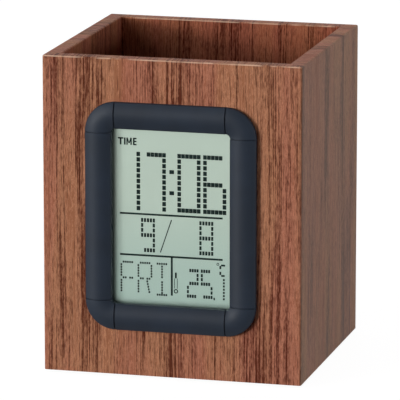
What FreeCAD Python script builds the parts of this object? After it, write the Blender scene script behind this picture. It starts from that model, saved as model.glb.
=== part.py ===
import FreeCAD, Part
import math
import os

from FreeCAD import Vector

# Desk clock with calendar, built into the front wall of a square pen stand.
# Four mitred walls and a bottom panel of wood-grain board make the stand. The clock is a
# moulded module that is pushed into a window in the front wall and pulls out forwards. Its
# four setting buttons and its coin-cell door are on its back, inside the stand.
# Millimetres, +Z up, front face towards -Y. The origin is on the table, under the middle of
# the overall length and width.

# Stand
case_width = 80.0        # across the front
case_depth = 75.0        # front face to back face
case_height = 97.0       # lower edge of the walls to the rim
wall = 4.8               # board of the four walls
floor_board = 4.8        # board of the bottom panel
corner_round = 0.7       # softened upright corners
rim_round = 0.5          # softened edges round the rim
pad_across = 9.0         # stick-on feet
pad_thick = 1.0
pad_inset = 10.5         # outer face to the middle of a foot
pad_bevel = 0.3

# Bezel of the clock, in offsets outwards from the edge of the window
module_rise = 0.5        # middle of the window above the middle of the walls
window_width = 36.7
window_height = 53.7
window_round = 1.2
bar = 8.05               # width of the four bars round the window
crest = 2.8              # top of the rounded bars in front of the wall
crown_radius = 7.0       # rounding across a bar
bar_edge_round = 0.5     # rounding at the two edges of a bar
groove_width = 0.4       # lines that part the bars from the corners
groove_depth = 0.45
reveal = 0.35            # shadow step where the bars meet the wall
flange_lap = 2.1         # overlap of the bezel on the face of the wall
collar_depth = 6.0       # skirt of the bezel behind the face of the wall
skin = 1.3               # walls of the mouldings
core_depth = 0.9         # hollow under the bars, in front of the face of the wall
core_land = 2.7          # solid band between the window and that hollow
fit_gap = 0.3            # module in the cut-out of the wall, each side
grip_rib_across = 1.0    # ribs that hold the module in the cut-out
grip_rib_rise = 0.24
grip_rib_spread = 15.0   # ribs above and below the middle

# Display
gap = 0.1                # assembly clearance between neighbours in the module
lens_lap = 0.9           # overlap of the lens behind the bezel
lens_front = 0.4         # lens seat behind the face of the wall
lens_thick = 1.0
glass_lap = 0.9          # overlap of the display glass beside the window
glass_end_lap = 2.3      # overlap above and below, with the contact ledge
glass_thick = 1.1
ledge = 1.9              # contact ledge of the front glass
reflector_thick = 0.25
strip_thick = 1.5        # elastomer strips between glass and board
strip_length = 35.0
holder_lap = 0.3         # overlap of the holder beside the window
holder_end = 1.2         # holder past the glass, above and below
holder_opening_width = 28.0
holder_opening_height = 42.0

# Circuit board and what it carries
board_thick = 1.2
board_gap = 0.5          # circuit board inside the skirt
post_out = 2.95          # middle of screw posts outside the window edge
case_post_rise = 22.0    # screw posts of the back cover above and below the middle
case_post_across = 3.7
cover_post_across = 4.8
board_post_rise = 8.0
board_post_across = 3.2
switch_size = 6.0
switch_height = 3.4
plunger_across = 3.4
plunger_rise = 0.9
plunger_sink = 0.8
button_travel = 0.3
chip_across = 9.0
chip_rise = 1.5
crystal_across = 2.1
crystal_length = 6.2
lead_across = 0.5
bead_across = 2.4
bead_thick = 1.5
bead_stand = 1.6
crystal_edge_bevel = 0.25
contact_thick = 0.3      # sheet of the spring contacts
contact_width = 3.0      # contacts of the cell
leaf_foot = 3.4          # lengths of the leaf under the cell
leaf_slope = 3.4
leaf_tip = 2.5

# Back cover, buttons, buzzer and coin cell
module_depth = 15.3      # face of the wall to the back of the module
back_thick = 1.4
button_across = 5.0
button_flange = 0.8      # flange that keeps the button behind the back cover
button_rim = 0.8         # flange wider than the button, each side
button_stem_across = 3.8
button_proud = 0.8
button_edge_bevel = 0.35
button_pitch = 10.0
button_rise = 20.0       # row of buttons above the middle of the window
button_names = ("mode", "set", "up", "down")
fit_slide = 0.15         # buttons and cell door in the back cover, each side
cell_across = 20.0
cell_thick = 3.2
cell_cup_across = 17.6   # raised negative pole
cell_cup_rise = 0.5
cell_edge_bevel = 0.3
cell_drop = 14.8         # middle of the cell below the middle of the window
cell_stand = 0.8         # cell behind the circuit board
cell_play = 0.3          # cell in front of the lugs of the door
door_across = 24.0
door_thick = 1.15
neck_across = 21.0
lug_reach = 1.1
lug_thick = 0.8
lug_angle = 38.0
lug_count = 3
notch_play = 3.0         # degrees that a notch is wider than its lug, each side
door_turn = 60.0         # from locked to where the lugs meet their notches
ledge_thick = 1.2
well_wall = 1.7
coin_slot_width = 1.8
coin_slot_length = 13.0
coin_slot_depth = 0.6
buzzer_across = 15.0
buzzer_thick = 0.25
ceramic_across = 10.5
ceramic_thick = 0.2
buzzer_rise = 7.6        # middle of the buzzer above the middle of the window
buzzer_seat_wall = 1.0
buzzer_seat_rise = 0.9   # seat above the inside of the cover
buzzer_seat_sink = 0.45  # recess that takes the brass plate
spring_width = 1.0       # springs that feed the buzzer, and the lengths along them
spring_foot = 1.5
spring_slope = 1.9
spring_tip = 1.2
sound_hole = 1.4
sound_ring = 3.2
sound_count = 6
vent_width = 1.0
vent_length = 6.0
vent_pitch = 2.4
vent_count = 3
sensor_out = 17.0        # temperature sensor and its vents beside the middle
sensor_drop = 4.5

# Screws
case_screw = 1.6
case_screw_length = 8.0
case_screw_head = 3.0
case_screw_head_thick = 1.1
board_screw = 1.3
board_screw_length = 4.0
board_screw_head = 2.6
board_screw_head_thick = 0.8
screw_gap = 0.05         # screw in its moulded hole, each side
head_gap = 0.2           # screw head in its sinking, each side
drive_width = 0.4        # cross slots in the heads
drive_depth = 0.4

# Places that follow from the sizes above
case_bottom = pad_thick
case_top = case_bottom + case_height
case_front = (crest - case_depth) / 2
case_back = case_front + case_depth
module_middle = case_bottom + case_height / 2 + module_rise
half_width = window_width / 2
half_height = window_height / 2
skirt_out = bar - flange_lap
skirt_in = skirt_out - skin
lens_back = lens_front + lens_thick + gap
glass_front = lens_back + gap
glass_middle = glass_front + glass_thick
glass_back = glass_middle + glass_thick
reflector_back = glass_back + reflector_thick
back_inside = module_depth - back_thick
door_front = module_depth - door_thick
ledge_back = door_front - gap / 2
ledge_front = ledge_back - ledge_thick
lug_back = ledge_front - gap
lug_front = lug_back - lug_thick
cell_back = lug_front - cell_play
cell_front = cell_back - cell_thick
board_back = cell_front - cell_stand
board_front = board_back - board_thick
cover_seat = (collar_depth + back_inside) / 2
buzzer_seat_front = back_inside - buzzer_seat_rise
buzzer_plate_front = buzzer_seat_front + buzzer_seat_sink - buzzer_thick
post_x = half_width + post_out
switch_top = board_back + switch_height
plunger_top = switch_top + plunger_rise
chip_out = (buzzer_across + chip_across) / 2 + 4 * gap
neck_opening = neck_across / 2 + fit_slide
lug_opening = neck_across / 2 + lug_reach + fit_slide
door_opening = door_across / 2 + fit_slide
well_radius = cell_across / 2 + fit_slide * 2
well_outside = door_opening + well_wall


def box(x0, x1, y0, y1, z0, z1):
    return Part.makeBox(x1 - x0, y1 - y0, z1 - z0, Vector(x0, y0, z0))


def peg(across, y0, y1, x=0.0, z=0.0):
    """Round bar along Y."""
    return Part.makeCylinder(across / 2, y1 - y0, Vector(x, y0, z), Vector(0, 1, 0))


def together(shapes):
    first, *others = shapes
    return first.multiFuse(others).removeSplitter()


def round_plate(out, y0, y1):
    """Upright plate with round corners that reaches `out` past the window on every side."""
    w = half_width + out
    h = half_height + out
    r = window_round + out
    body = [
        box(-w, w, y0, y1, r - h, h - r),
        box(r - w, w - r, y0, y1, -h, h),
    ]
    for x in (r - w, w - r):
        for z in (r - h, h - r):
            body.append(peg(2 * r, y0, y1, x, z))
    return together(body)


def sector(radius, start, sweep, y0, y1, z):
    """Pie slice about a Y axis, measured from +X towards +Z."""
    slice_ = Part.makeCylinder(radius, y1 - y0, Vector(0, 0, 0), Vector(0, 0, 1), sweep)
    slice_.rotate(Vector(), Vector(0, 0, 1), start)
    slice_.rotate(Vector(), Vector(1, 0, 0), 90)
    slice_.translate(Vector(0, y1, z))
    return slice_


def bent_spring(reach, width, foot, slope, tip, x, z):
    """Sheet-metal spring that leaves the circuit board and ends flat just in front of `reach`."""
    back = reach - contact_thick - gap / 2
    bends = [
        (board_back, z - tip / 2 - slope - foot),
        (board_back, z - tip / 2 - slope),
        (back, z - tip / 2),
        (back, z + tip / 2),
    ]
    there = [Vector(x - width / 2, y, z_bend) for y, z_bend in bends]
    again = [point + Vector(0, contact_thick, 0) for point in reversed(there)]
    outline = Part.makePolygon(there + again + there[:1])
    return Part.Face(outline).extrude(Vector(width, 0, 0))


# Walls: one ring of board with softened edges, parted at the mitres
def wall_ring():
    outer = box(-case_width / 2, case_width / 2, case_front, case_back, case_bottom, case_top)
    inner = box(
        wall - case_width / 2,
        case_width / 2 - wall,
        case_front + wall,
        case_back - wall,
        case_bottom,
        case_top,
    )
    ring = outer.cut(inner)
    upright = [
        e
        for e in ring.Edges
        if e.BoundBox.ZLength > case_height / 2
        and abs(abs(e.CenterOfMass.x) - case_width / 2) < wall / 2
    ]
    ring = ring.makeFillet(corner_round, upright)
    rim = [e for e in ring.Edges if e.BoundBox.ZMin > case_top - rim_round / 10]
    return ring.makeFillet(rim_round, rim)


def mitred(ring, corners):
    """The part of the ring between two mitres. `corners` are the outer and then the inner pair."""
    outline = [Vector(x, y, case_bottom) for x, y in corners]
    wedge = Part.Face(Part.makePolygon(outline + outline[:1]))
    return ring.common(wedge.extrude(Vector(0, 0, case_height)))


def walls():
    ring = wall_ring()
    x, xi = case_width / 2, case_width / 2 - wall
    yf, yfi = case_front, case_front + wall
    yb, ybi = case_back, case_back - wall
    front = mitred(ring, [(-x, yf), (x, yf), (xi, yfi), (-xi, yfi)])
    window = in_module_place(round_plate(skirt_out + fit_gap, -wall, 2 * wall))
    return {
        "wall_front": front.cut(window),
        "wall_right": mitred(ring, [(x, yf), (x, yb), (xi, ybi), (xi, yfi)]),
        "wall_back": mitred(ring, [(x, yb), (-x, yb), (-xi, ybi), (xi, ybi)]),
        "wall_left": mitred(ring, [(-x, yb), (-x, yf), (-xi, yfi), (-xi, ybi)]),
    }


def floor_panel():
    return box(
        wall - case_width / 2,
        case_width / 2 - wall,
        case_front + wall,
        case_back - wall,
        case_bottom,
        case_bottom + floor_board,
    )


def foot_pads():
    pads = []
    for x in (pad_inset - case_width / 2, case_width / 2 - pad_inset):
        for y in (case_front + pad_inset, case_back - pad_inset):
            pad = Part.makeCylinder(pad_across / 2, pad_thick, Vector(x, y, 0))
            lower = [e for e in pad.Edges if e.BoundBox.ZMax < pad_thick / 2]
            pads.append(pad.makeChamfer(pad_bevel, lower))
    return Part.makeCompound(pads)


# Bezel: a rounded bar carried round the window, with a skirt that enters the wall
def bar_section(place):
    """Section of the bezel. `place(out, y)` puts a point at that offset from the window edge."""
    middle = bar / 2
    tilt = math.asin((middle - bar_edge_round) / (crown_radius - bar_edge_round))
    crown_y = crown_radius - crest
    reach = (crown_radius - bar_edge_round) * math.sin(tilt)
    edge_y = crown_y - (crown_radius - bar_edge_round) * math.cos(tilt)

    def crown(side, angle):
        return place(
            middle + side * crown_radius * math.sin(angle),
            crown_y - crown_radius * math.cos(angle),
        )

    def edge(side, angle):
        return place(
            middle + side * (reach + bar_edge_round * math.sin(angle)),
            edge_y - bar_edge_round * math.cos(angle),
        )

    upper = (tilt + math.pi / 2) / 2
    foot = [
        (bar, -reveal),
        (bar - reveal, -reveal),
        (bar - reveal, 0.0),
        (skirt_out, 0.0),
        (skirt_out, collar_depth),
        (skirt_in, collar_depth),
        (skirt_in, -core_depth),
        (core_land, -core_depth),
        (core_land, lens_back),
        (lens_lap + gap, lens_back),
        (lens_lap + gap, lens_front),
        (0.0, lens_front),
    ]
    corners = [edge(1, math.pi / 2)] + [place(*p) for p in foot] + [edge(-1, math.pi / 2)]
    edges = [
        Part.Arc(edge(-1, math.pi / 2), edge(-1, upper), crown(-1, tilt)).toShape(),
        Part.Arc(crown(-1, tilt), crown(0, 0), crown(1, tilt)).toShape(),
        Part.Arc(crown(1, tilt), edge(1, upper), edge(1, math.pi / 2)).toShape(),
    ]
    for a, b in zip(corners, corners[1:]):
        edges.append(Part.makeLine(a, b))
    return Part.Face(Part.Wire(edges))


def groove_section(place):
    """What a groove takes off: all that lies above the crown, lowered by the groove's depth."""
    middle = bar / 2
    radius = crown_radius - groove_depth
    crown_y = crown_radius - crest
    reach = middle + bar_edge_round
    drop = math.sqrt(radius**2 - reach**2)
    left = place(middle - reach, crown_y - drop)
    right = place(middle + reach, crown_y - drop)
    arc = Part.Arc(left, place(middle, crown_y - radius), right).toShape()
    far = [right, place(middle + reach, -2 * crest), place(middle - reach, -2 * crest), left]
    return Part.Face(Part.Wire([arc] + [Part.makeLine(a, b) for a, b in zip(far, far[1:])]))


def four_ways(shape):
    """The shape and its mirror images to the left, below, and both."""
    left = shape.mirror(Vector(), Vector(1, 0, 0))
    return [shape, left] + [s.mirror(Vector(), Vector(0, 0, 1)) for s in (shape, left)]


def bezel():
    turn_x = half_width - window_round
    turn_z = half_height - window_round
    side = bar_section(lambda out, y: Vector(half_width + out, y, 0))
    top = bar_section(lambda out, y: Vector(0, y, half_height + out))
    side_bar = side.extrude(Vector(0, 0, turn_z))
    top_bar = top.extrude(Vector(turn_x, 0, 0))
    corner = side.translated(Vector(0, 0, turn_z)).revolve(
        Vector(turn_x, 0, turn_z), Vector(0, -1, 0), 90
    )
    body = []
    for piece in (side_bar, corner, top_bar):
        body += four_ways(piece)
    frame = together(body)
    posts = []
    for rise, across, end in (
        (case_post_rise, case_post_across, collar_depth),
        (board_post_rise, board_post_across, board_front),
    ):
        posts += four_ways(peg(across, -core_depth, end, post_x, rise))
    rib_x = half_width + skirt_out + grip_rib_rise - grip_rib_across / 2
    ribs = four_ways(peg(grip_rib_across, 0, collar_depth, rib_x, grip_rib_spread))
    frame = together([frame] + posts + ribs)
    lens_room = round_plate(lens_lap + gap, lens_front, lens_back)
    cuts = [lens_room]
    side_cut = groove_section(lambda out, y: Vector(half_width + out, y, turn_z - groove_width / 2))
    top_cut = groove_section(lambda out, y: Vector(turn_x - groove_width / 2, y, half_height + out))
    cuts += four_ways(side_cut.extrude(Vector(0, 0, groove_width)))
    cuts += four_ways(top_cut.extrude(Vector(groove_width, 0, 0)))
    case_pilot = case_screw + 2 * screw_gap
    board_pilot = board_screw + 2 * screw_gap
    case_pilot_end = cover_seat - case_screw_length - screw_gap
    board_pilot_end = board_back - board_screw_length - screw_gap
    cuts += four_ways(peg(case_pilot, case_pilot_end, collar_depth, post_x, case_post_rise))
    cuts += four_ways(peg(board_pilot, board_pilot_end, board_front, post_x, board_post_rise))
    return frame.cut(Part.makeCompound(cuts))


# Display: lens, glass pair, reflector, contact strips and their holder
def lens():
    return round_plate(lens_lap, lens_front, lens_front + lens_thick)


def glass_plate(y0, y1, end):
    """Display glass with square-cut corners, `end` past the window above and below."""
    w = half_width + glass_lap
    h = half_height + end
    return box(-w, w, y0, y1, -h, h)


def display_strips():
    top = half_height + glass_end_lap - gap
    upper = box(
        -strip_length / 2,
        strip_length / 2,
        glass_middle,
        board_front,
        top - strip_thick,
        top,
    )
    return {
        "contact_strip_upper": upper,
        "contact_strip_lower": upper.mirror(Vector(), Vector(0, 0, 1)),
    }


def display_holder():
    h = half_height + glass_end_lap + holder_end
    w = half_width + holder_lap
    frame = box(-w, w, reflector_back, board_front, -h, h)
    frame = frame.cut(
        box(
            -holder_opening_width / 2,
            holder_opening_width / 2,
            reflector_back,
            board_front,
            -holder_opening_height / 2,
            holder_opening_height / 2,
        )
    )
    top = half_height + glass_end_lap
    slot = box(
        -strip_length / 2 - gap,
        strip_length / 2 + gap,
        reflector_back,
        board_front,
        top - strip_thick - 2 * gap,
        top,
    )
    return frame.cut(Part.makeCompound([slot, slot.mirror(Vector(), Vector(0, 0, 1))]))


# Circuit board, switches and small components
def circuit_board():
    out = skirt_in - board_gap
    board = round_plate(out, board_front, board_back)
    cuts = four_ways(
        peg(cover_post_across + 4 * gap, board_front, board_back, post_x, case_post_rise)
    )
    edge = half_width + out
    cuts += four_ways(
        box(
            post_x,
            edge + gap,
            board_front,
            board_back,
            case_post_rise - cover_post_across / 2 - 2 * gap,
            case_post_rise + cover_post_across / 2 + 2 * gap,
        )
    )
    cuts += four_ways(peg(board_screw + 2 * head_gap, board_front, board_back, post_x, board_post_rise))
    return board.cut(Part.makeCompound(cuts))


def button_places():
    first = -button_pitch * (len(button_names) - 1) / 2
    return {name: first + n * button_pitch for n, name in enumerate(button_names)}


def switch_housings():
    housings = []
    for x in button_places().values():
        body = box(
            x - switch_size / 2,
            x + switch_size / 2,
            board_back,
            switch_top,
            button_rise - switch_size / 2,
            button_rise + switch_size / 2,
        )
        room = plunger_sink + button_travel + gap
        bore = peg(plunger_across + 2 * screw_gap, switch_top - room, switch_top, x, button_rise)
        housings.append(body.cut(bore))
    return Part.makeCompound(housings)


def switch_plunger(x):
    return peg(plunger_across, switch_top - plunger_sink, plunger_top, x, button_rise)


def button(x):
    """Round button on a stem, with a flange that stops behind the back cover."""
    flange_back = back_inside - gap
    flange_front = flange_back - button_flange
    stem = peg(button_stem_across, plunger_top, flange_front, x, button_rise)
    flange = peg(button_across + 2 * button_rim, flange_front, flange_back, x, button_rise)
    cap = peg(button_across, flange_back, module_depth + button_proud, x, button_rise)
    rim = [e for e in cap.Edges if e.BoundBox.YMin > module_depth]
    return together([stem, flange, cap.makeChamfer(button_edge_bevel, rim)])


def chip_cover():
    """Low dome of resin over the bare chip, cut from a ball."""
    radius = (chip_across**2 / 4 + chip_rise**2) / (2 * chip_rise)
    middle = board_back + chip_rise - radius
    ball = Part.makeSphere(radius, Vector(-chip_out, middle, buzzer_rise))
    return ball.common(peg(2 * chip_across, board_back, board_back + chip_rise, -chip_out, buzzer_rise))


def quartz_crystal():
    x = chip_out - crystal_length / 2
    y = board_back + crystal_across / 2 + gap / 2
    start = Vector(x, y, buzzer_rise)
    can = Part.makeCylinder(crystal_across / 2, crystal_length, start, Vector(1, 0, 0))
    far_edge = [e for e in can.Edges if e.BoundBox.XMin > x + crystal_length / 2]
    return can.makeChamfer(crystal_edge_bevel, far_edge)


def temperature_sensor():
    """Upright disc on two short leads, behind the vents of the back cover."""
    y = board_back + bead_stand + bead_across / 2
    under = Vector(sensor_out, y, -sensor_drop - bead_thick / 2)
    bead = Part.makeCylinder(bead_across / 2, bead_thick, under)
    leads = [
        peg(lead_across, board_back, y, sensor_out + side * bead_across / 4, -sensor_drop)
        for side in (-1, 1)
    ]
    return together([bead] + leads)


# Back cover: a tray with screw posts, button holes, buzzer seat and the well of the cell
def back_cover():
    tray = round_plate(skirt_out, collar_depth, module_depth)
    outer_edges = [e for e in tray.Edges if e.BoundBox.YMin > module_depth - gap]
    tray = tray.makeFillet(skin / 2, outer_edges)
    tray = tray.cut(round_plate(skirt_in, collar_depth, back_inside))
    added = four_ways(peg(cover_post_across, collar_depth, back_inside, post_x, case_post_rise))
    inside = round_plate(skirt_in + skin / 2, collar_depth, back_inside)
    added = [post.common(inside) for post in added]
    well_front = board_back + cell_stand / 2
    added.append(peg(2 * well_outside, well_front, back_inside, 0, -cell_drop))
    seat_across = buzzer_across + 2 * buzzer_seat_wall + 2 * gap
    added.append(peg(seat_across, buzzer_seat_front, back_inside, 0, buzzer_rise))
    tray = together([tray] + added)
    cuts = four_ways(peg(case_screw + 2 * head_gap, collar_depth, module_depth, post_x, case_post_rise))
    cuts += four_ways(
        peg(case_screw_head + 2 * head_gap, cover_seat, module_depth, post_x, case_post_rise)
    )
    cuts += [
        peg(button_across + 2 * fit_slide, back_inside, module_depth, x, button_rise)
        for x in button_places().values()
    ]
    cuts += well_cuts(well_front) + buzzer_cuts() + vent_cuts()
    return tray.cut(Part.makeCompound(cuts))


def well_cuts(well_front):
    """Room for the cell, the lugs, the neck and the face of the door, and notches for the lugs."""
    cuts = [
        peg(2 * well_radius, well_front, lug_front - gap, 0, -cell_drop),
        peg(2 * lug_opening, lug_front - gap, ledge_front, 0, -cell_drop),
        peg(2 * neck_opening, ledge_front, ledge_back, 0, -cell_drop),
        peg(2 * door_opening, ledge_back, module_depth, 0, -cell_drop),
    ]
    for start in lug_starts():
        notch_start = start - door_turn - notch_play
        notch_sweep = lug_angle + 2 * notch_play
        cuts.append(sector(lug_opening, notch_start, notch_sweep, ledge_front, ledge_back, -cell_drop))
    # Gap in the well for the contact that bears on the side of the cell
    cuts.append(
        box(
            -contact_width / 2 - 3 * gap,
            contact_width / 2 + 3 * gap,
            well_front,
            cell_back,
            -cell_drop,
            -cell_drop + well_outside,
        )
    )
    return cuts


def lug_starts():
    return [n * 360.0 / lug_count for n in range(lug_count)]


def buzzer_cuts():
    sunk = buzzer_seat_front + buzzer_seat_sink
    cuts = [
        peg(buzzer_across + 2 * gap, buzzer_seat_front, sunk, 0, buzzer_rise),
        peg(buzzer_across - 2 * buzzer_seat_wall, sunk, back_inside, 0, buzzer_rise),
        peg(sound_hole, back_inside, module_depth, 0, buzzer_rise),
    ]
    for n in range(sound_count):
        angle = 2 * math.pi * n / sound_count
        x = sound_ring * math.cos(angle)
        z = buzzer_rise + sound_ring * math.sin(angle)
        cuts.append(peg(sound_hole, back_inside, module_depth, x, z))
    return cuts


def vent_cuts():
    lowest = -sensor_drop - vent_pitch * (vent_count - 1) / 2
    left, right = sensor_out - vent_length / 2, sensor_out + vent_length / 2
    cuts = []
    for n in range(vent_count):
        z = lowest + n * vent_pitch
        cuts.append(
            box(left, right, back_inside, module_depth, z - vent_width / 2, z + vent_width / 2)
        )
    return cuts


def cell_door():
    """Round door: a face with a coin slot, a neck, and three lugs that lock behind the ledge."""
    face = peg(door_across, door_front, module_depth, 0, -cell_drop)
    neck = peg(neck_across, lug_front, door_front, 0, -cell_drop)
    lugs = [
        sector(neck_across / 2 + lug_reach, start, lug_angle, lug_front, lug_back, -cell_drop)
        for start in lug_starts()
    ]
    slot = box(
        -coin_slot_length / 2,
        coin_slot_length / 2,
        module_depth - coin_slot_depth,
        module_depth,
        -cell_drop - coin_slot_width / 2,
        -cell_drop + coin_slot_width / 2,
    )
    hollow_radius = neck_across / 2 - skin
    hollow = peg(2 * hollow_radius, lug_front, door_front - skin / 2, 0, -cell_drop)
    rib = box(
        -skin / 2,
        skin / 2,
        lug_front,
        door_front,
        -cell_drop - hollow_radius,
        hollow_radius - cell_drop,
    )
    return together([face, neck.cut(hollow), rib] + lugs).cut(slot)


def coin_cell():
    shoulder = cell_front + cell_cup_rise
    can = peg(cell_across, shoulder, cell_back, 0, -cell_drop)
    cup = peg(cell_cup_across, cell_front, shoulder, 0, -cell_drop)
    edges = [e for e in can.Edges if e.BoundBox.YMin > cell_back - gap]
    return together([can.makeChamfer(cell_edge_bevel, edges), cup])


def cell_contacts():
    """Leaf under the cell, and an upright clip that bears on its side."""
    leaf = bent_spring(cell_front, contact_width, leaf_foot, leaf_slope, leaf_tip, 0, -cell_drop)
    left, right = -contact_width / 2, contact_width / 2
    side = cell_across / 2 - cell_drop + gap / 2
    upright = box(left, right, board_back, cell_back - gap, side, side + contact_thick)
    foot = box(left, right, board_back, board_back + contact_thick, side, side + contact_width)
    return {"cell_contact_leaf": leaf, "cell_contact_clip": together([upright, foot])}


def buzzer():
    front = buzzer_plate_front
    return {
        "buzzer_plate": peg(buzzer_across, front, front + buzzer_thick, 0, buzzer_rise),
        "buzzer_ceramic": peg(ceramic_across, front - ceramic_thick, front, 0, buzzer_rise),
    }


def buzzer_contacts():
    """Two bent springs from the circuit board, one on the ceramic and one on the brass plate."""
    bare_ring = (ceramic_across + buzzer_across) / 4
    places = ((0.0, buzzer_plate_front - ceramic_thick), (bare_ring, buzzer_plate_front))
    springs = [
        bent_spring(reach, spring_width, spring_foot, spring_slope, spring_tip, x, buzzer_rise)
        for x, reach in places
    ]
    return Part.makeCompound(springs)


# Screws: pan heads with a cross slot
def screw(across, length, head, head_thick, seat, x, z):
    """Screw along Y with its head behind `seat` and its point towards the front."""
    shank = peg(across, seat - length, seat, x, z)
    top = peg(head, seat, seat + head_thick, x, z)
    rounded = [e for e in top.Edges if e.BoundBox.YMin > seat + head_thick / 2]
    top = top.makeChamfer(head_thick / 3, rounded)
    back = seat + head_thick
    arm = head / 3
    slots = [
        box(x - arm, x + arm, back - drive_depth, back, z - drive_width / 2, z + drive_width / 2),
        box(x - drive_width / 2, x + drive_width / 2, back - drive_depth, back, z - arm, z + arm),
    ]
    return together([shank, top]).cut(Part.makeCompound(slots))


def cover_screws():
    one = screw(
        case_screw,
        case_screw_length,
        case_screw_head,
        case_screw_head_thick,
        cover_seat,
        post_x,
        case_post_rise,
    )
    return Part.makeCompound(four_ways(one))


def board_screws():
    one = screw(
        board_screw,
        board_screw_length,
        board_screw_head,
        board_screw_head_thick,
        board_back,
        post_x,
        board_post_rise,
    )
    return Part.makeCompound(four_ways(one))


def in_module_place(shape):
    """From the module's own frame, on the middle of the window at the wall's face, to the stand."""
    placed = shape.copy()
    placed.translate(Vector(0, case_front, module_middle))
    return placed


def clock_module():
    parts = {
        "bezel": bezel(),
        "lens": lens(),
        "display_glass_front": glass_plate(glass_front, glass_middle, glass_end_lap),
        "display_glass_rear": glass_plate(glass_middle, glass_back, glass_end_lap - ledge),
        "display_reflector": glass_plate(glass_back, reflector_back, glass_end_lap - ledge),
        "display_holder": display_holder(),
        "circuit_board": circuit_board(),
        "switch_housings": switch_housings(),
        "chip_cover": chip_cover(),
        "quartz_crystal": quartz_crystal(),
        "temperature_sensor": temperature_sensor(),
        "buzzer_contacts": buzzer_contacts(),
        "coin_cell": coin_cell(),
        "cell_door": cell_door(),
        "back_cover": back_cover(),
        "cover_screws": cover_screws(),
        "board_screws": board_screws(),
    }
    parts.update(display_strips())
    parts.update(cell_contacts())
    parts.update(buzzer())
    for name, x in button_places().items():
        parts[f"button_{name}"] = button(x)
        parts[f"plunger_{name}"] = switch_plunger(x)
    return {name: in_module_place(shape) for name, shape in parts.items()}


def main():
    os.makedirs("parts", exist_ok=True)
    parts = walls()
    parts["floor_panel"] = floor_panel()
    parts["foot_pads"] = foot_pads()
    parts.update(clock_module())
    for name, shape in parts.items():
        shape.exportStep(f"parts/{name}.step")
        print(f"{name}: {len(shape.Solids)} solids, {shape.Volume:.1f} mm3, valid {shape.isValid()}")


main()
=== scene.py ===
import math

import bpy
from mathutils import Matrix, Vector


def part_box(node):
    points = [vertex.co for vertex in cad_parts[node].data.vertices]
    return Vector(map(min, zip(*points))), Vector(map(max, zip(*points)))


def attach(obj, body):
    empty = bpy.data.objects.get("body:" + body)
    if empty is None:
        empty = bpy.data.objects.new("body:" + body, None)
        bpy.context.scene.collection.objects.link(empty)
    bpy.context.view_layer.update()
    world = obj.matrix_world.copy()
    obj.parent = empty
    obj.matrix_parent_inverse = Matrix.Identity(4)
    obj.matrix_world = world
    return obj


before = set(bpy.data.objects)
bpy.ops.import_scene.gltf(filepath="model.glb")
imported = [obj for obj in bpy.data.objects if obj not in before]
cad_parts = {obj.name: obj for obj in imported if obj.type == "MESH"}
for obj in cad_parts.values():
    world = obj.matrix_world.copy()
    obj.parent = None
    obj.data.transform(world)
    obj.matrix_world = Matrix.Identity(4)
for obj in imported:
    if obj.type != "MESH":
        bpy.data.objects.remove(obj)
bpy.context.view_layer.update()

# Photographer's view: the camera stands to the right of the clock's front and a little
# above it, far off with a long lens, so the uprights stay nearly parallel.
view_turn, view_tilt = 0.2575, 0.2140
view_distance, view_lens = 1.3320, 390.0
view_target = Vector((-0.00100, 0.0014, 0.04782))


def seen_from(turn, rise):
    """Direction from the clock to one who stands to the right of its front, and above it."""
    level = math.cos(rise)
    return Vector((math.sin(turn) * level, -math.cos(turn) * level, math.sin(rise)))


def looking_back(way):
    """Rotation of a camera or lamp that stands that way from the clock and faces it."""
    return way.to_track_quat("Z", "Y").to_euler()


toward_camera = seen_from(view_turn, view_tilt)
bpy.ops.object.select_all(action="DESELECT")
bpy.ops.object.camera_add(location=view_target + view_distance * toward_camera)
camera = bpy.context.object
camera.rotation_euler = looking_back(toward_camera)
camera.data.lens = view_lens
camera.data.clip_start, camera.data.clip_end = 0.05, 20
bpy.context.scene.camera = camera

# Walls of the pen stand: four mitred boards covered with walnut-grain foil. The grain runs
# upwards on every board and goes over the rim, because one sheet wraps the outer face, the
# rim and the inner face.
mm = 1000
case_low, case_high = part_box("wall_front")
case_top = case_high.z * mm
board = (case_high.y - case_low.y) * mm
front_face = case_low.y * mm
back_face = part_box("wall_back")[1].y * mm
side_face = case_high.x * mm


class Link:
    """A socket of the finish that is being made. Arithmetic on it adds Math nodes."""

    def __init__(self, finish, socket):
        self.finish = finish
        self.socket = socket

    def math(self, operation, first, second):
        return self.finish.node("Math", {"operation": operation}, {0: first, 1: second})

    def __add__(self, other):
        return self.math("ADD", self, other)

    def __sub__(self, other):
        return self.math("SUBTRACT", self, other)

    def __rsub__(self, other):
        return self.math("SUBTRACT", other, self)

    def __mul__(self, other):
        return self.math("MULTIPLY", self, other)

    def __or__(self, other):
        """The greater of two masks."""
        return self.math("MAXIMUM", self, other)

    __radd__ = __add__
    __rmul__ = __mul__
    __ror__ = __or__


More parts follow.
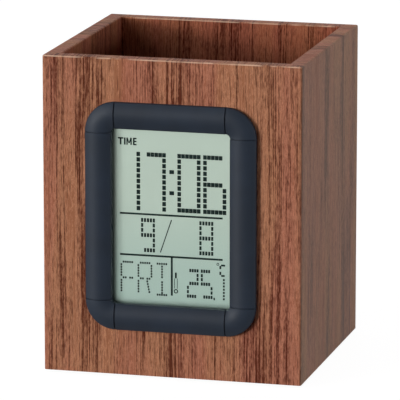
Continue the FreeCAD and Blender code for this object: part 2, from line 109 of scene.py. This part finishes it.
class Finish:
    """A procedural finish, and the nodes that make it."""

    def __init__(self, name, kind=bpy.data.materials):
        self.made = kind.new(name)
        self.made.use_nodes = True
        self.tree = self.made.node_tree
        self.tree.nodes.clear()

    def node(self, kind, settings=None, values=None, output=0):
        """A new node: its settings, what its inputs hold or take, and the output that is read."""
        node = self.tree.nodes.new("ShaderNode" + kind)
        for name, setting in (settings or {}).items():
            if name == "stops":
                ramp = node.color_ramp.elements
                ramp.remove(ramp[1])
                ramp[0].position, ramp[0].color = setting[0][0], (*setting[0][1], 1)
                for place, colour in setting[1:]:
                    ramp.new(place).color = (*colour, 1)
            else:
                setattr(node, name, setting)
        for name, value in (values or {}).items():
            if isinstance(name, str):
                socket = next(s for s in node.inputs if s.name == name and s.enabled)
            else:
                socket = node.inputs[name]
            if isinstance(value, Link):
                self.tree.links.new(value.socket, socket)
            elif hasattr(value, "__len__") and len(value) == 3 and socket.type == "RGBA":
                socket.default_value = (*value, 1)
            else:
                socket.default_value = value
        if isinstance(output, str):
            return Link(self, next(s for s in node.outputs if s.name == output and s.enabled))
        return Link(self, [s for s in node.outputs if s.enabled][output]) if node.outputs else None

    def place(self):
        """X, Y and Z on the object, in millimetres."""
        where = self.node("TexCoord", output="Object")
        split = [self.node("SeparateXYZ", values={0: where}, output=axis) for axis in "XYZ"]
        return [axis * mm for axis in split]

    def noise(self, x, y, z, detail=2, roughness=0.5):
        """Noise with its own measure each way, for grain and lines."""
        where = self.node("CombineXYZ", values={0: x, 1: y, 2: z})
        return self.cloud(1, detail, roughness, where)

    def cloud(self, scale, detail=2, roughness=0.5, where=None):
        where = where or self.node("TexCoord", output="Object")
        values = {"Vector": where, "Scale": scale, "Detail": detail, "Roughness": roughness}
        return self.node("TexNoise", values=values)

    def spots(self, count, detail=2, roughness=0.5):
        """Noise that is alike every way, with so many spots to the millimetre."""
        return self.cloud(count * mm, detail, roughness)

    def cells(self, across, up, distance="EUCLIDEAN"):
        """How far it is to the middle of the nearest of many scattered cells."""
        where = self.node("CombineXYZ", values={0: across, 1: up, 2: 0})
        settings = {"voronoi_dimensions": "2D", "distance": distance}
        return self.node("TexVoronoi", settings, {"Vector": where, "Scale": 1}, "Distance")

    def step(self, value, low, high, start=0, end=1):
        """Goes smoothly from start to end while the value goes from low to high."""
        values = {"Value": value, 1: low, 2: high, 3: start, 4: end}
        return self.node("MapRange", {"interpolation_type": "SMOOTHSTEP"}, values)

    def mix(self, share, first, second, blend="MIX"):
        settings = {"data_type": "RGBA", "blend_type": blend}
        return self.node("Mix", settings, {0: share, 6: first, 7: second})

    def tint(self, colour, shade):
        return self.mix(1, colour, shade, "MULTIPLY")

    def bump(self, height, depth):
        """Relief of that depth, in millimetres."""
        values = {"Height": height, "Strength": 1, "Distance": depth / mm}
        return self.node("Bump", values=values)

    def output(self, shader, kind="OutputMaterial"):
        self.node(kind, values={"Surface": shader})
        return self.made

    def surface(self, **values):
        names = {name.replace("_", " "): value for name, value in values.items()}
        return self.output(self.node("BsdfPrincipled", values=names))


def srgb(*tone):
    """Colour from its usual 0 to 255 numbers."""
    return tuple(((v / 255 + 0.055) / 1.055) ** 2.4 if v > 10 else v / 3294.6 for v in tone)


def wear(material, *names):
    """Puts a finish on CAD nodes."""
    for name in names:
        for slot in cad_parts[name].material_slots:
            slot.material = material


def walnut(name, along, outwards, seed, edge_wear_and_highlight, banding=0.85, painted_sheen=0):
    """Walnut grain. `along` and `outwards` give the way along the board and through it.

    `edge_wear_and_highlight` says how pale the rim's edges are, rubbed and with a painted
    highlight, `banding` how much the broad bands differ, and `painted_sheen` how much
    painted grey sheen veils the outer face.
    """
    finish = Finish(name)
    x, y, z = finish.place()
    depth = outwards(x, y)
    # u runs across the grain, which wanders a little, and v up the board and over the rim
    u = along(x, y)
    v = z + depth
    waves = finish.noise(u * 0.03, v * 0.009, seed, 1) * 4
    ripples = finish.noise(u * 0.1, v * 0.018, seed, 2) * 0.6
    u = u + waves + ripples

    def pores(across, length, offset, low, high):
        """Open pores, cut lengthwise: dark dashes, that many to the millimetre each way."""
        cell = finish.cells(u * across + seed, v * length + offset)
        return finish.step(cell, low, high, 1, 0)

    # Broad bands, streaks, fine lines and flecks add up to one tone. It rises from the dark
    # lines to the pale ones, whose very middle is mid-brown again.
    figure = finish.noise(u * 0.13, v * 0.012, seed, 3)
    streak = finish.noise(u * 1.1, v * 0.015, seed + 3, 3, 0.7)
    fine = finish.noise(u * 2.4, v * 0.02, seed + 5, 3, 0.75)
    fleck = finish.noise(u * 2.2, v * 0.5, seed + 9, 3, 0.7)
    tone = (figure - 0.5) * banding + streak * 0.45 + fine * 0.9 + fleck * 0.55 - 0.04
    dark_line, pale_line, pale_core = srgb(98, 51, 38), srgb(206, 147, 119), srgb(166, 110, 86)
    stops = ((0.72, dark_line), (0.9999, pale_line), (1, pale_core))
    colour = finish.node("ValToRGB", {"stops": stops}, {0: tone}, "Color")
    # Some bands lean towards tan and others towards red
    warmth = finish.noise(u * 0.10, v * 0.008, seed + 20, 2)
    tan = finish.tint(colour, srgb(255, 252, 238))
    red = finish.tint(colour, srgb(252, 236, 234))
    colour = finish.mix(finish.step(warmth, 0.4, 0.6), red, tan)
    # Short pores crowd in some places and leave others clear. Long ones are few.
    crowding = finish.step(finish.noise(u * 0.5, v * 0.04, seed + 30, 2), 0.38, 0.62, 0.25, 1)
    short = pores(2.4, 0.28, 0, 0.10, 0.32) * crowding
    long = pores(0.9, 0.06, 7, 0.06, 0.20)
    colour = finish.mix(short * 0.4, colour, srgb(84, 42, 30))
    colour = finish.mix(long * 0.5, colour, srgb(70, 33, 24))
    # Painted sheen: a grey veil on the outer face, but neither the rim nor the inside, stands in
    # for the white studio mirrored at a flat angle
    sheen_veil = finish.step(depth, 0.1, 0.3, painted_sheen, 0)
    colour = finish.mix(sheen_veil, colour, srgb(150, 150, 134))
    # Painted shade: the inner faces are a shade darker and redder, where the cup lies in shade
    below_rim = finish.step(z, case_top - 0.4, case_top - 0.1, 1, 0)
    inside = finish.step(depth, board - 0.4, board - 0.1) * below_rim
    colour = finish.mix(inside, colour, finish.tint(colour, srgb(230, 208, 202)))
    # The foil is rubbed pale where it turns over the two edges of the rim, and a painted highlight
    # lies along them as well
    rubbed = finish.step(finish.noise(u * 0.25, v * 0.25, seed + 40, 3), 0.35, 0.6)
    near_top = finish.step(z, case_top - 0.5, case_top - 0.25)
    outer_edge = finish.step(depth, 0.12, 0.4, 1, 0)
    inner_edge = finish.step(depth, board - 0.45, board - 0.15)
    pale = (outer_edge + inner_edge) * near_top * rubbed
    colour = finish.mix(pale * edge_wear_and_highlight, colour, srgb(236, 200, 174))
    return finish.surface(
        Base_Color=colour,
        Roughness=finish.step(streak, 0.3, 0.7, 0.40, 0.48),
        Specular_IOR_Level=0.02,
        Normal=finish.bump(fine * 0.5 - short - long, 0.04),
    )


wear(walnut("walnut_front", lambda x, y: x, lambda x, y: y - front_face, 6.4, 0.8), "wall_front")
# The right wall, seen at a flat angle, carries the painted grey sheen
wear(
    walnut("walnut_right", lambda x, y: y, lambda x, y: side_face - x, 14.3, 0.1, 0.8, 0.22),
    "wall_right",
)
wear(walnut("walnut_back", lambda x, y: x, lambda x, y: back_face - y, 27.1, 0.6), "wall_back")
wear(walnut("walnut_left", lambda x, y: y, lambda x, y: x + side_face, 39.9, 0.05), "wall_left")
# Bottom panel: the same board, laid flat between the walls, with its grain towards the back
wear(walnut("walnut_floor", lambda x, y: x, lambda x, y: y, 51.0, 0), "floor_panel")


# Feet: four stick-on pads of black rubber foam, with a skin that is slightly mottled
def rubber(name, tone, skin):
    finish = Finish(name)
    cells = finish.spots(3.5, 3, 0.6)
    return finish.surface(
        Base_Color=finish.mix(finish.step(cells, 0.35, 0.7), srgb(*tone), srgb(*skin)),
        Roughness=finish.step(cells, 0.3, 0.7, 0.75, 0.9),
        Normal=finish.bump(cells, 0.08),
    )


wear(rubber("foot_foam", (34, 34, 36), (46, 46, 48)), "foot_pads")


# Bezel: one moulding of dark blue-grey plastic with a fine matt texture. Shallow grooves
# part its four crowned bars from the corners.
def moulded(name, tone, grain, depth, roughness, gloss):
    """Injection-moulded plastic with spark-eroded pits, `grain` of them to the millimetre."""
    finish = Finish(name)
    pits = finish.spots(grain, 2, 0.6)
    lighter = [t * 1.12 + 2 for t in tone]
    clouds = finish.step(finish.spots(0.09), 0.35, 0.65)
    return finish.surface(
        Base_Color=finish.mix(clouds, srgb(*tone), srgb(*lighter)),
        Roughness=finish.step(pits, 0.3, 0.7, roughness - 0.05, roughness + 0.05),
        Specular_IOR_Level=gloss,
        Normal=finish.bump(pits, depth),
    )


wear(
    moulded("bezel_plastic", (21, 30, 42), grain=5, depth=0.012, roughness=0.5, gloss=0.22),
    "bezel",
)


# Window: a clear acrylic plate behind the bezel. It mirrors a little at a flat angle, and
# only from its front, and carries a few smudges.
def clear(name, tint):
    finish = Finish(name)
    smudge = finish.step(finish.spots(0.12, 3), 0.3, 0.7, 0.03, 0.08)
    through = finish.node("BsdfTransparent", values={"Color": tint})
    shine = finish.node("BsdfPrincipled", values={"Base Color": (0, 0, 0), "Roughness": smudge})
    front = 1 - finish.node("NewGeometry", output="Backfacing")
    mirrored = finish.node("Fresnel", values={"IOR": 1.18}) * front
    return finish.output(finish.node("MixShader", values={0: mirrored, 1: through, 2: shine}))


wear(clear("window_acrylic", (0.97, 0.98, 0.97)), "lens")


# Display: a twisted-nematic liquid-crystal cell, two sheets of glass with a grey-green
# polariser film, and a reflector foil behind them. The film carries the readout.
def polariser(name, tone):
    """Polariser or reflector film. Towards its foot it turns a shade darker and cooler: painted
    shade.
    """
    finish = Finish(name)
    foil = finish.spots(6)
    clouds = finish.step(finish.spots(0.05), 0.3, 0.7)
    darker = [t * 0.98 for t in tone]
    painted_shade_tone = [t * share for t, share in zip(tone, (0.91, 0.95, 0.96))]
    # Painted shade: darker and cooler towards the foot
    foot = finish.step(finish.place()[2], 25, 60, 1, 0)
    colour = finish.mix(clouds, srgb(*tone), srgb(*darker))
    return finish.surface(
        Base_Color=finish.mix(foot, colour, srgb(*painted_shade_tone)),
        Metallic=0.8,
        Roughness=finish.step(foil, 0.3, 0.7, 0.3, 0.36),
        Normal=finish.bump(foil, 0.003),
    )


wear(polariser("polariser_film", (174, 186, 177)), "display_glass_front", "display_glass_rear")
wear(polariser("reflector_foil", (186, 194, 186)), "display_reflector")

# Readout: the segments that the display darkens. Each figure is made of small blocks, drawn
# here as thin pieces that lie on the film, inside the gap in front of it. Places are given in
# millimetres across and up, and the whole readout sits a little to the left and higher.
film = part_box("display_glass_front")[0].y
ink_thick = 0.03
block_corner = 0.08
readout_left, readout_up = 0.35, 1.01


def on_film(x, z):
    return Vector(((x - readout_left) / mm, film, (z + readout_up) / mm))


def thicken():
    """Gives the flat piece in edit mode its thickness, towards the front."""
    bpy.ops.mesh.select_all(action="SELECT")
    bpy.ops.mesh.extrude_region_move(TRANSFORM_OT_translate={"value": (0, -ink_thick / mm, 0)})
    bpy.ops.mesh.select_all(action="SELECT")
    bpy.ops.mesh.normals_make_consistent(inside=False)
    bpy.ops.object.mode_set(mode="OBJECT")


def ink_block(width, height):
    """One block with slightly rounded corners, facing the front, at the origin."""
    bpy.ops.object.select_all(action="DESELECT")
    bpy.ops.mesh.primitive_plane_add(size=1 / mm, rotation=(math.pi / 2, 0, 0))
    block = bpy.context.object
    block.scale = (width, height, 1)
    bpy.ops.object.transform_apply(location=True, rotation=True, scale=True)
    bpy.ops.object.mode_set(mode="EDIT")
    bpy.ops.mesh.select_all(action="SELECT")
    bpy.ops.mesh.bevel(offset=block_corner / mm, segments=1, affect="VERTICES")
    thicken()
    return block


def ink(width, height, places):
    """Copies of one block at those places."""
    block = ink_block(width, height)
    made = []
    for x, z in places:
        copy = block.copy()
        copy.data = block.data.copy()
        copy.location = on_film(x, z)
        bpy.context.collection.objects.link(copy)
        made.append(copy)
    bpy.data.objects.remove(block)
    return made


def row(x, z, pitch, count):
    return [(x + n * pitch, z) for n in range(count)]


def column(x, z, pitch, count):
    return [(x, z - n * pitch) for n in range(count)]


readout = []
# Hours and minutes: 1, 7, 0 and 6 in eleven rows of blocks, with a colon between them
top, down, across = 67.92, 1.656, 1.203
middle, bottom, width = top - 5 * down, top - 10 * down, 5 * across
one, seven, zero, six = -10.28, -7.11, 2.39, 10.34
blocks = column(one, top, down, 11)
blocks += row(seven, top, across, 5) + column(-2.30, top - down, down, 10)
blocks += row(zero, top, across, 6) + row(zero, bottom, across, 6)
blocks += column(zero, top - down, down, 9) + column(zero + width, top - down, down, 9)
blocks += row(six, top, across, 5) + row(six, bottom, across, 6)
blocks += column(six, top - down, down, 9) + column(six + width, middle - down, down, 4)
blocks += row(six + across, middle, across, 4)
readout += ink(1.13, 1.32, blocks)
readout += ink(1.45, 1.2, [(0.06, 62.92), (0.06, 56.47)])
# Rules between the fields
readout += ink(31.9, 0.58, [(-0.13, 49.59), (-0.13, 36.91)])
readout += ink(0.6, 11.9, [(0.06, 30.92)])
# Month and day: 9 and 8, seven rows of up to five blocks
top, down, across = 47.78, 1.533, 0.908
middle, bottom, width = top - 3 * down, top - 6 * down, 4 * across
nine, eight = -9.14, 8.95
blocks = []
for x in (nine, eight):
    blocks += row(x, top, across, 5) + row(x, middle, across, 5)
    blocks += column(x, top - down, down, 2) + column(x + width, top - down, down, 2)
    blocks += column(x + width, middle - down, down, 2)
blocks += row(nine + across, bottom, across, 4)
blocks += column(eight, middle - down, down, 2) + row(eight, bottom, across, 5)
readout += ink(0.68, 1.2, blocks)
# Weekday: FRI, each letter with an upper and a lower half
upper, lower, down, across = 33.75, 28.92, 0.815, 0.68
head, waist, foot = 34.58, 29.76, 25.03
blocks = []
for x in (-15.67, -10.35, -2.99):
    blocks += column(x, upper, down, 5) + column(x, lower, down, 5)
for x, z in ((-15.0, head), (-9.62, head), (-4.38, head), (-4.38, foot)):
    blocks += row(x, z, across, 5)
for x in (-15.0, -9.62):
    blocks += row(x, waist, across, 2) + row(x + 3 * across, waist, across, 2)
blocks += column(-6.29, upper, down, 5)
blocks += [(-7.6 + 0.16 * n, lower - n * down) for n in range(5)]
readout += ink(0.52, 0.62, blocks)
# Temperature: 2 and 5, their point, the 1 of the tenths, and the C over it
head, waist, foot, across = 33.09, 29.13, 25.17, 0.752
for left, above, below, foot_left in ((5.80, 8.05, 5.06, 5.06), (9.37, 9.37, 12.39, 10.13)):
    blocks = row(left, head, across, 4) + row(left, waist, across, 4)
    blocks += row(foot_left, foot, across, 4)
    blocks += [(above, 31.70), (above, 30.49), (below, 27.85), (below, 26.53)]
    readout += ink(0.6, 1.0, blocks)
readout += ink(0.45, 0.8, [(13.2, 24.75)])
readout += ink(0.56, 0.64, column(16.2, 30.75, 0.985, 7))
readout += ink(0.56, 1.0, [(15.1, 34.55), (15.1, 32.75)])
readout += ink(1.3, 0.55, [(15.95, 35.2)]) + ink(1.1, 0.55, [(15.9, 32.0)])
# Thermometer sign: its column, and the two sides of its tube
readout += ink(0.56, 1.8, [(1.31, 31.28)])
readout += ink(0.18, 3.2, [(0.92, 28.8), (1.74, 28.8)])
# The word TIME over the hours: bar and stems, then the stems of the M, then the E's arms
cap, level = 2.2, 71.65
readout += ink(1.75, 0.46, [(-15.75, level + 0.9)])
readout += ink(0.5, cap, [(-15.75, level), (-14.46, level), (-11.68, level)])
readout += ink(0.42, cap, [(-13.76, level), (-12.5, level)])
readout += ink(1.0, 0.42, [(-11.3, level + rise) for rise in (-0.92, 0, 0.92)])
# Slanted strokes: the two in the M, and the slash of the date
for thick, length, x, z, run in (
    (0.3, 1.75, -13.45, level + 0.3, -0.5),
    (0.3, 1.75, -12.81, level + 0.3, 0.5),
    (0.3, 10.8, -1.745, 43.175, 3.49),
):
    stroke = ink_block(thick, length)
    stroke.rotation_euler.y = math.asin(run / length)
    stroke.location = on_film(x, z)
    readout.append(stroke)
# Rings: the degree sign, and the bulb of the thermometer sign
for x, z, radius, thick in ((14.33, 35.49, 0.42, 0.2), (1.33, 26.4, 0.68, 0.3)):
    bpy.ops.object.select_all(action="DESELECT")
    bpy.ops.mesh.primitive_circle_add(
        vertices=24, radius=radius / mm, fill_type="NGON", rotation=(math.pi / 2, 0, 0)
    )
    ring = bpy.context.object
    ring.location = on_film(x, z)
    bpy.ops.object.mode_set(mode="EDIT")
    bpy.ops.mesh.select_all(action="SELECT")
    bpy.ops.mesh.inset(thickness=thick / mm)
    bpy.ops.mesh.delete(type="FACE")
    thicken()
    readout.append(ring)
bpy.ops.object.select_all(action="DESELECT")
for piece in readout:
    piece.select_set(True)
bpy.context.view_layer.objects.active = readout[0]
bpy.ops.object.join()
readout = bpy.context.object
readout.name = "display_figures"
bpy.ops.object.transform_apply(location=True, rotation=True, scale=True)
finish = Finish("dark_segments")
patches = finish.spots(0.4)
readout.data.materials.clear()
readout.data.materials.append(
    finish.surface(
        Base_Color=finish.mix(finish.step(patches, 0.3, 0.7), srgb(14, 30, 28), srgb(22, 38, 37)),
        Roughness=finish.step(patches, 0.3, 0.7, 0.4, 0.5),
        Specular_IOR_Level=0.1,
    )
)
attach(readout, "clock")

# Display holder: a white plastic frame behind the reflector. It keeps the glass square to
# the board, and its ribs hold the contact strips in line.
wear(
    moulded("holder_abs", (222, 223, 218), grain=4, depth=0.01, roughness=0.45, gloss=0.4),
    "display_holder",
)

# Contact strips: two elastomer bars that carry the segment signals from the board up to the
# ledge of the rear glass. Black conducting layers alternate with pale insulating ones.
layer_pitch = 0.36


def elastomer(name, carbon, silicone):
    finish = Finish(name)
    x, y, z = finish.place()
    wave = finish.node("Math", {"operation": "SINE"}, {0: x * (2 * math.pi / layer_pitch)})
    return finish.surface(
        Base_Color=finish.mix(finish.step(wave, -0.2, 0.2), srgb(*carbon), srgb(*silicone)),
        Roughness=finish.step(finish.spots(4), 0.3, 0.7, 0.6, 0.75),
        Normal=finish.bump(wave, 0.005),
    )


wear(
    elastomer("zebra_elastomer", (36, 35, 38), (206, 176, 170)),
    "contact_strip_upper", "contact_strip_lower",
)


# Circuit board: glass-epoxy sheet with green solder mask. Under the mask run copper tracks,
# which stand out a little paler and higher; the glass weave shows faintly.
def printed_board(name, mask, track):
    finish = Finish(name)
    x, y, z = finish.place()

    def tracks(scale, seed):
        cell = finish.cells(x * scale + seed, z * scale, "CHEBYCHEV")
        return finish.step(cell, 0.30, 0.32) * finish.step(cell, 0.36, 0.38, 1, 0)

    copper = tracks(0.22, 0) | tracks(0.35, 9)
    threads = [finish.node("Math", {"operation": "SINE"}, {0: axis * 9}) for axis in (x, z)]
    weave = threads[0] * threads[1]
    return finish.surface(
        Base_Color=finish.mix(copper, srgb(*mask), srgb(*track)),
        Roughness=finish.step(weave, -1, 1, 0.28, 0.38),
        Normal=finish.bump(copper + weave * 0.15, 0.02),
    )


wear(printed_board("solder_mask", (16, 78, 50), (36, 112, 70)), "circuit_board")

# Switches: four tactile push switches soldered to the back of the board, each a black nylon
# body with a brown plunger that its button presses.
wear(
    moulded("switch_nylon", (30, 30, 32), grain=6, depth=0.008, roughness=0.5, gloss=0.4),
    "switch_housings",
)
wear(
    moulded("plunger_nylon", (74, 52, 40), grain=6, depth=0.006, roughness=0.45, gloss=0.4),
    "plunger_mode", "plunger_set", "plunger_up", "plunger_down",
)


# Chip cover: a drop of black epoxy over the bare clock chip, poured hot and set glossy, with
# a slightly uneven skin and a few pinholes
def poured_resin(name, tone, roughness):
    finish = Finish(name)
    swell = finish.spots(0.5)
    pinholes = finish.step(finish.spots(5, 3, 0.7), 0.25, 0.35, 1, 0)
    return finish.surface(
        Base_Color=finish.mix(pinholes, srgb(*tone), srgb(*[t * 0.6 for t in tone])),
        Roughness=finish.step(swell, 0.3, 0.7, roughness, roughness + 0.12),
        Normal=finish.bump(swell - pinholes * 0.1, 0.12),
    )


wear(poured_resin("chip_epoxy", (17, 17, 19), 0.2), "chip_cover")
# Temperature sensor: a thermistor disc dipped in dull green resin, upright on its leads so
# that the air from the vents reaches it
wear(poured_resin("thermistor_resin", (58, 74, 48), 0.35), "temperature_sensor")


# Metal pieces: rolled, drawn or turned, so that fine lines run one way over them. Screws are
# zinc-plated, the crystal's can is tinned, and the springs are nickel-plated steel.
def lined_metal(name, tone, lines_each_way, roughness=0.3):
    """Bare metal, with so many lines to the millimetre along X, Y and Z."""
    finish = Finish(name)
    spread = [axis * count for axis, count in zip(finish.place(), lines_each_way)]
    lines = finish.noise(*spread, 3, 0.6)
    clouds = finish.step(finish.spots(0.4), 0.35, 0.65)
    return finish.surface(
        Base_Color=finish.mix(clouds, srgb(*tone), srgb(*[t * 0.88 for t in tone])),
        Metallic=1.0,
        Roughness=finish.step(lines, 0.3, 0.7, roughness - 0.06, roughness + 0.08),
        Normal=finish.bump(lines, 0.006),
    )


wear(lined_metal("tinned_can", (206, 207, 204), (0.3, 6, 6)), "quartz_crystal")
wear(
    lined_metal("nickel_spring", (196, 193, 184), (6, 6, 0.4), 0.25),
    "buzzer_contacts", "cell_contact_leaf", "cell_contact_clip",
)
wear(lined_metal("zinc_plate", (190, 194, 202), (5, 0.5, 5), 0.32), "board_screws", "cover_screws")

# Buzzer: a brass disc with a thinner piezo-ceramic disc glued to it. The ceramic is coated
# with fired silver paste, pale and matt. The springs above feed both.
wear(lined_metal("buzzer_brass", (206, 168, 98), (0.4, 6, 6), 0.28), "buzzer_plate")
wear(poured_resin("fired_silver", (208, 205, 196), 0.5), "buzzer_ceramic")


# Coin cell: 20 mm lithium cell in a pressed steel can. Its flat side is brushed round and
# round, and faces the door.
def turned_steel(name, tone, centre):
    finish = Finish(name)
    x, y, z = finish.place()
    aside, up = x - centre.x * mm, z - centre.z * mm
    radius = finish.node("Math", {"operation": "SQRT"}, {0: aside * aside + up * up})
    rings = finish.noise(radius * 6, y * 0.5, 0, 3, 0.6)
    clouds = finish.step(finish.spots(0.3), 0.35, 0.65)
    return finish.surface(
        Base_Color=finish.mix(clouds, srgb(*tone), srgb(*[t * 0.9 for t in tone])),
        Metallic=1.0,
        Roughness=finish.step(rings, 0.3, 0.7, 0.2, 0.34),
        Normal=finish.bump(rings, 0.006),
    )


cell_low, cell_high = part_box("coin_cell")
wear(turned_steel("cell_can", (204, 205, 203), (cell_low + cell_high) / 2), "coin_cell")

# Back cover: the rear shell of the clock, moulded in the bezel's blue-grey but with a coarser
# spark texture, and painted lighter than the bezel to stand in for light that hardly reaches
# the back. Four screws from behind hold it to the bezel's posts.
wear(
    moulded("cover_abs", (58, 64, 73), grain=3, depth=0.03, roughness=0.55, gloss=0.3),
    "back_cover",
)
# Cell door: a round plug of the same plastic with a coin slot, a little smoother than the
# cover. Its lugs lock under the well's edge.
wear(
    moulded("door_abs", (54, 60, 69), grain=3, depth=0.02, roughness=0.45, gloss=0.35),
    "cell_door",
)
# Buttons: four moulded caps that stand in holes of the back cover and press the switches.
# They are painted paler than the cover, a painted lightness that stands in for light the shaded
# back lacks.
wear(
    moulded("button_abs", (148, 153, 160), grain=5, depth=0.01, roughness=0.4, gloss=0.4),
    "button_mode", "button_set", "button_up", "button_down",
)

# Studio: a white table that runs on as its own backdrop, and six soft lamps. Two stand low on
# the left, one low on the right, one overhead, one shines into the cup and one stands behind.
# The camera, gloss and clear pieces see table and backdrop as white, with the clock's shadow.
shadow_share = 0.3
glow_strength = 1.38
sky_light = 0.02


def seen_studio(finish):
    """1 for rays that show the studio, and 0 for those that only light the clock."""
    rays = [f"Is {kind} Ray" for kind in ("Camera", "Glossy", "Transmission")]
    camera_ray, glossy_ray, clear_ray = (finish.node("LightPath", output=ray) for ray in rays)
    return camera_ray | glossy_ray | clear_ray


bpy.ops.object.select_all(action="DESELECT")
bpy.ops.mesh.primitive_plane_add(size=12)
table = bpy.context.object
table.name = "studio_floor"
finish = Finish("studio_white")
pale_grey = finish.mix(finish.spots(0.01), (0.39, 0.39, 0.39), (0.41, 0.41, 0.41))
matt = finish.node("BsdfDiffuse", values={"Color": pale_grey})
glow = finish.node("Emission", values={"Color": (1, 1, 1), "Strength": glow_strength})
share = seen_studio(finish) * (1 - shadow_share)
table.data.materials.append(
    finish.output(finish.node("MixShader", values={0: share, 1: matt, 2: glow}))
)

sky = Finish("studio", bpy.data.worlds)
strength = sky.node("MapRange", values={"Value": seen_studio(sky), "To Min": sky_light})
shown = sky.node("Background", values={"Color": (1, 1, 1), "Strength": strength})
bpy.context.scene.world = sky.output(shown, "OutputWorld")

# Each lamp's turn from the clock's front, its rise and its spread in degrees, and its power
for name, turn, rise, spread, power in (
    ("key", -44, 5, 60, 2.1),
    ("front", -40, 5, 10, 1.35),
    ("top", -20, 80, 30, 0.32),
    ("fill", 85, 3, 10, 0.86),
    ("cup", 187, 55, 25, 0.45),
    ("back", 232, 5, 40, 1.1),
):
    way = seen_from(math.radians(turn), math.radians(rise))
    bpy.ops.object.select_all(action="DESELECT")
    bpy.ops.object.light_add(type="SUN", location=way)
    lamp = bpy.context.object
    lamp.name = name
    lamp.rotation_euler = looking_back(way)
    lamp.data.angle = math.radians(spread)
    lamp.data.energy = power

bpy.context.scene.view_settings.view_transform = "Standard"
